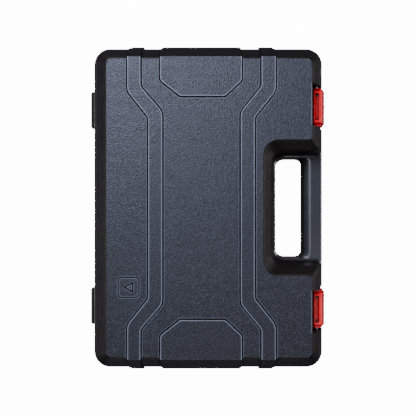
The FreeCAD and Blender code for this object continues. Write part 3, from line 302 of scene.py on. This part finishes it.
def case_plastic():
    """Black moulded plastic: pebbled faces and smooth belts, with painted shade in the sunk lines and
    on the walls, painted glints on the faces, a painted sheen on the bar top and painted highlights
    along the rims.
    """
    made, tree, shader, where = material("case_plastic")
    shape = tree.nodes.new("ShaderNodeNewGeometry")
    shape.location = (-1600, -400)
    zone = use(tree, zones, -1000, -300)
    wire(tree, where, zone.inputs["Position"])
    wire(tree, shape.outputs["True Normal"], zone.inputs["Facing"])
    drawn = use(tree, streaks, -1000, -600)
    wire(tree, where, drawn.inputs["Position"])
    pebble = use(tree, grain, -600, 0, Size=900.0, Depth=0.55)
    wire(tree, where, pebble.inputs["Position"])
    wire(tree, maths(tree, "MULTIPLY_ADD", zone.outputs["Grained"], 0.94, -800, -100, c=0.06),
         pebble.inputs["Amount"])
    round_edges(tree, pebble, CASE_ROUND)
    marks = use(tree, dust, -600, 300, Size=14.0)
    wire(tree, where, marks.inputs["Position"])
    base = mix_colour(tree, marks.outputs["Mask"], WALL_BLACK, WALL_BROWN, -300, 300)
    glint_spots = use(tree, painted_glints, -600, -700, Size=780.0)
    wire(tree, where, glint_spots.inputs["Position"])
    # painted highlight: light specks mixed into the face colour stand in for glints on the pebble
    # grain
    face = mix_colour(tree, glint_spots.outputs["Mask"], GRAIN_LOW, FACE_PAINTED_GLINT, -400, 100)
    field = mix_colour(tree, zone.outputs["Flat"], base, face, -200, 200)
    # painted sheen: the upward faces of the carrying bar are coloured a lighter grey for the light
    # they catch
    bar = mix_colour(tree, zone.outputs["Bar"], field, BAR_TOP_PAINTED_SHEEN, -150, 250)
    # painted highlight: a light grey along the outer edges of the faces, stronger on the raised pads,
    # for the light that rounded edges catch
    rim_highlight_share = edge_share(tree, RIM_REACH, 0.55, 0.92, -1800, 900)
    rim_highlight_share = maths(tree, "MULTIPLY", rim_highlight_share, zone.outputs["Flat"], -500, 700)
    rim_highlight_share = maths(tree, "MULTIPLY", rim_highlight_share,
                maths(tree, "MULTIPLY_ADD", zone.outputs["Raised"], 0.3, -500, 900, c=0.7),
                -300, 700)
    shade = mix_colour(tree, rim_highlight_share, bar, RIM_PAINTED_HIGHLIGHT, -100, 300)
    # painted shade: the sunk pattern lines are coloured near black for the shade that falls into the
    # grooves
    dark = mix_colour(tree, zone.outputs["Sunk"], shade, GROOVE_PAINTED_SHADE, 0, 300)
    wire(tree, dark, shader.inputs["Base Color"])
    rough = mix_value(tree, zone.outputs["Grained"], 0.36, 0.39, -100, 0)
    rough = mix_value(tree, maths(tree, "MULTIPLY", drawn.outputs["Mask"], zone.outputs["Flat"],
                                  -300, -300), rough, 0.45, 0, 0)
    wire(tree, mix_value(tree, zone.outputs["Sunk"], rough, 0.9, 100, 0),
         shader.inputs["Roughness"])
    # painted shade: Metallic takes most of the gloss off the side walls and hinge barrels and all of
    # it off the sunk lines, so they read darker, as if in shade
    darkened = maths(tree, "MULTIPLY_ADD", zone.outputs["Wall"], 0.65, -100, -300,
                 c=zone.outputs["Sunk"])
    darkened = maths(tree, "MINIMUM", darkened, 1.0, 100, -300)
    wire(tree, darkened, shader.inputs["Metallic"])
    smooth = maths(tree, "SUBTRACT", 0.8, maths(tree, "MULTIPLY", zone.outputs["Grained"], 0.8,
                                                -300, -500), -100, -500)
    bare = maths(tree, "SUBTRACT", 1.0, zone.outputs["Hinge"], -100, -700)
    wire(tree, maths(tree, "MULTIPLY", smooth, bare, 100, -500), shader.inputs["Coat Weight"])
    shader.inputs["Coat Roughness"].default_value = 0.2
    shader.inputs["Specular Tint"].default_value = (0.80, 0.85, 1.0, 1)
    wire(tree, pebble.outputs["Normal"], shader.inputs["Normal"])
    return made


def latch_plastic(name, colour):
    """Glossy coloured plastic with painted shade inside its own hollows."""
    made, tree, shader, where = material(name)
    marks = use(tree, dust, -600, 300, Size=40.0)
    wire(tree, where, marks.inputs["Position"])
    deep = tuple(c * 0.82 for c in colour[:3]) + (1,)
    hollow_painted_shade = tuple(c * 0.10 for c in colour[:3]) + (1,)
    # painted shade: the colour goes nearly black where ambient occlusion finds a hollow, such as the
    # slot of the latch
    open_share = place(tree, "ShaderNodeAmbientOcclusion", -900, 600, samples=8)
    open_share.inputs["Distance"].default_value = 0.005
    skin_colour = mix_colour(tree, marks.outputs["Mask"], colour, deep, -300, 300)
    shadow = ramp(tree, open_share.outputs["AO"], 0.75, 0.35, -600, 600)
    wire(tree, mix_colour(tree, shadow, skin_colour, hollow_painted_shade, -100, 300),
         shader.inputs["Base Color"])
    wire(tree, mix_value(tree, marks.outputs["Mask"], 0.22, 0.32, -300, 0),
         shader.inputs["Roughness"])
    skin = use(tree, grain, -600, 0, Size=300.0, Depth=0.05, Amount=1.0)
    round_edges(tree, skin, 0.0006)
    wire(tree, where, skin.inputs["Position"])
    wire(tree, skin.outputs["Normal"], shader.inputs["Normal"])
    shader.inputs["Specular IOR Level"].default_value = 0.4
    return made


def metal(name, colour, rough_low, rough_high, scale=60.0, depth=0.06):
    """Bare or plated steel with uneven handling marks."""
    made, tree, shader, where = material(name)
    marks = use(tree, dust, -600, 300, Size=scale)
    wire(tree, where, marks.inputs["Position"])
    darkened = tuple(c * 0.85 for c in colour[:3]) + (1,)
    wire(tree, mix_colour(tree, marks.outputs["Mask"], colour, darkened, -300, 300),
         shader.inputs["Base Color"])
    shader.inputs["Metallic"].default_value = 1.0
    wire(tree, mix_value(tree, marks.outputs["Mask"], rough_low, rough_high, -300, 0),
         shader.inputs["Roughness"])
    skin = use(tree, grain, -600, 0, Size=900.0, Depth=depth, Amount=1.0)
    round_edges(tree, skin, 0.0004)
    wire(tree, where, skin.inputs["Position"])
    wire(tree, skin.outputs["Normal"], shader.inputs["Normal"])
    return made


def grip_rubber():
    """Matt black rubber with a fine grain."""
    made, tree, shader, where = material("grip_plastic")
    marks = use(tree, dust, -600, 300, Size=30.0)
    wire(tree, where, marks.inputs["Position"])
    wire(tree, mix_colour(tree, marks.outputs["Mask"], (0.02, 0.02, 0.022, 1),
                          (0.04, 0.04, 0.042, 1), -300, 300), shader.inputs["Base Color"])
    wire(tree, mix_value(tree, marks.outputs["Mask"], 0.5, 0.62, -300, 0),
         shader.inputs["Roughness"])
    skin = use(tree, grain, -600, 0, Size=1500.0, Depth=0.35, Amount=1.0)
    round_edges(tree, skin, 0.0006)
    wire(tree, where, skin.inputs["Position"])
    wire(tree, skin.outputs["Normal"], shader.inputs["Normal"])
    return made


looks = {
    "case_plastic": case_plastic(),
    "latch_plastic": latch_plastic("latch_plastic", (0.72, 0.004, 0.014, 1)),
    "pin_steel": metal("pin_steel", (0.45, 0.45, 0.46, 1), 0.25, 0.4),
    "tool_chrome": metal("tool_chrome", (0.72, 0.73, 0.75, 1), 0.14, 0.26, 25.0, 0.02),
    "grip_plastic": grip_rubber(),
    "bit_steel": metal("bit_steel", (0.30, 0.31, 0.33, 1), 0.32, 0.45),
    "lever_plastic": latch_plastic("lever_plastic", (0.62, 0.012, 0.016, 1)),
}

for name, thing in nodes.items():
    thing.data.materials.clear()
    thing.data.materials.append(looks[slot_of[name]])


# ---------------------------------------------------------------- floor, light and camera
FLOOR_SIZE = 6.0
FLOOR_DROP = 0.0005
FLOOR_GLOW = 14.0        # how bright the floor itself looks
WALL_GLOW = 10.0         # how bright the wall behind the floor looks
ROOM_LIGHT = 0.03        # light that comes from all round
# name: place, aim, size, watts and colour
LIGHTS = {
    "strip": ((0.0, 0.22, 1.95), (0.0, 0.0, 0.05), (0.7, 0.08), 3.5, (0.95, 0.97, 1.0)),
    "key": ((1.10, 0.5, 1.5), (0.05, 0, 0.05), (0.8, 1.2), 66, (0.84, 0.875, 1.0)),
    "fill": ((-0.7, -0.5, 1.7), (0, 0, 0.05), (0.8, 0.8), 3, (1.0, 0.98, 0.95)),
    "front": ((0.1, -1.7, 0.5), (0, -0.1, 0.05), (1.2, 0.5), 18, (1.0, 0.99, 0.97)),
    "back": ((-0.2, 1.7, 0.6), (0, 0.1, 0.05), (1.3, 0.5), 12, (0.97, 0.98, 1.0)),
    "left end": ((-1.6, 0.1, 0.5), (-0.1, 0, 0.05), (0.9, 0.4), 5, (1.0, 1.0, 1.0)),
}
LID_TOP = 0.091
EYE_ABOVE_LID = 0.563
CASE_MIDDLE = -0.002
LENS = 45.6
SENSOR = 36.0
TURN = math.radians(-90)   # the latch edge is on the right


def floor():
    """Pale floor, dim to the case so that its walls stay dark."""
    bpy.ops.mesh.primitive_plane_add(size=FLOOR_SIZE, location=(0, 0, -FLOOR_DROP))
    made = bpy.context.object
    made.name = "floor"
    made_material, tree, shader, where = material("pale_floor")
    cloud = place(tree, "ShaderNodeTexNoise", -700, 100)
    cloud.inputs["Scale"].default_value = 6.0
    wire(tree, where, cloud.inputs["Vector"])
    wire(tree, mix_colour(tree, cloud.outputs["Fac"], (0.070, 0.070, 0.070, 1),
                          (0.080, 0.080, 0.080, 1), -300, 100), shader.inputs["Base Color"])
    shader.inputs["Roughness"].default_value = 0.8
    seen = tree.nodes.new("ShaderNodeLightPath")
    seen.location = (-700, -300)
    shader.inputs["Emission Color"].default_value = (1.0, 1.0, 1.0, 1)
    wire(tree, maths(tree, "MULTIPLY", seen.outputs["Is Camera Ray"], FLOOR_GLOW, -400, -300),
         shader.inputs["Emission Strength"])
    made.data.materials.append(made_material)


def area(name, spot, aim, size, power, colour):
    """Soft rectangular light at a spot, turned to its aim."""
    data = bpy.data.lights.new(name, "AREA")
    data.shape = "RECTANGLE"
    data.color = colour
    data.size, data.size_y = size
    data.energy = power
    made = bpy.data.objects.new(name, data)
    bpy.context.scene.collection.objects.link(made)
    made.location = spot
    way = Vector(aim) - Vector(spot)
    made.rotation_euler = way.to_track_quat("-Z", "Y").to_euler()


def room():
    """Faint light from all round, with a pale wall to look at."""
    world = bpy.data.worlds.new("studio")
    bpy.context.scene.world = world
    world.use_nodes = True
    tree = world.node_tree
    wall = tree.nodes["Background"]
    wall.inputs["Color"].default_value = (1.0, 1.0, 1.0, 1)
    seen = tree.nodes.new("ShaderNodeLightPath")
    bright = maths(tree, "MULTIPLY_ADD", seen.outputs["Is Camera Ray"], WALL_GLOW, 0, 0,
                   c=ROOM_LIGHT)
    wire(tree, bright, wall.inputs["Strength"])


def camera():
    """Straight above the middle of the closed case."""
    lens = bpy.data.cameras.new("camera")
    lens.sensor_width = SENSOR
    lens.lens = LENS
    lens.dof.use_dof = False
    lens.clip_start = 0.01
    eye = bpy.data.objects.new("camera", lens)
    bpy.context.scene.collection.objects.link(eye)
    eye.location = (0.0, CASE_MIDDLE, LID_TOP + EYE_ABOVE_LID)
    eye.rotation_euler = (0.0, 0.0, TURN)
    bpy.context.scene.camera = eye


floor()
for name, values in LIGHTS.items():
    area(name, *values)
room()
camera()
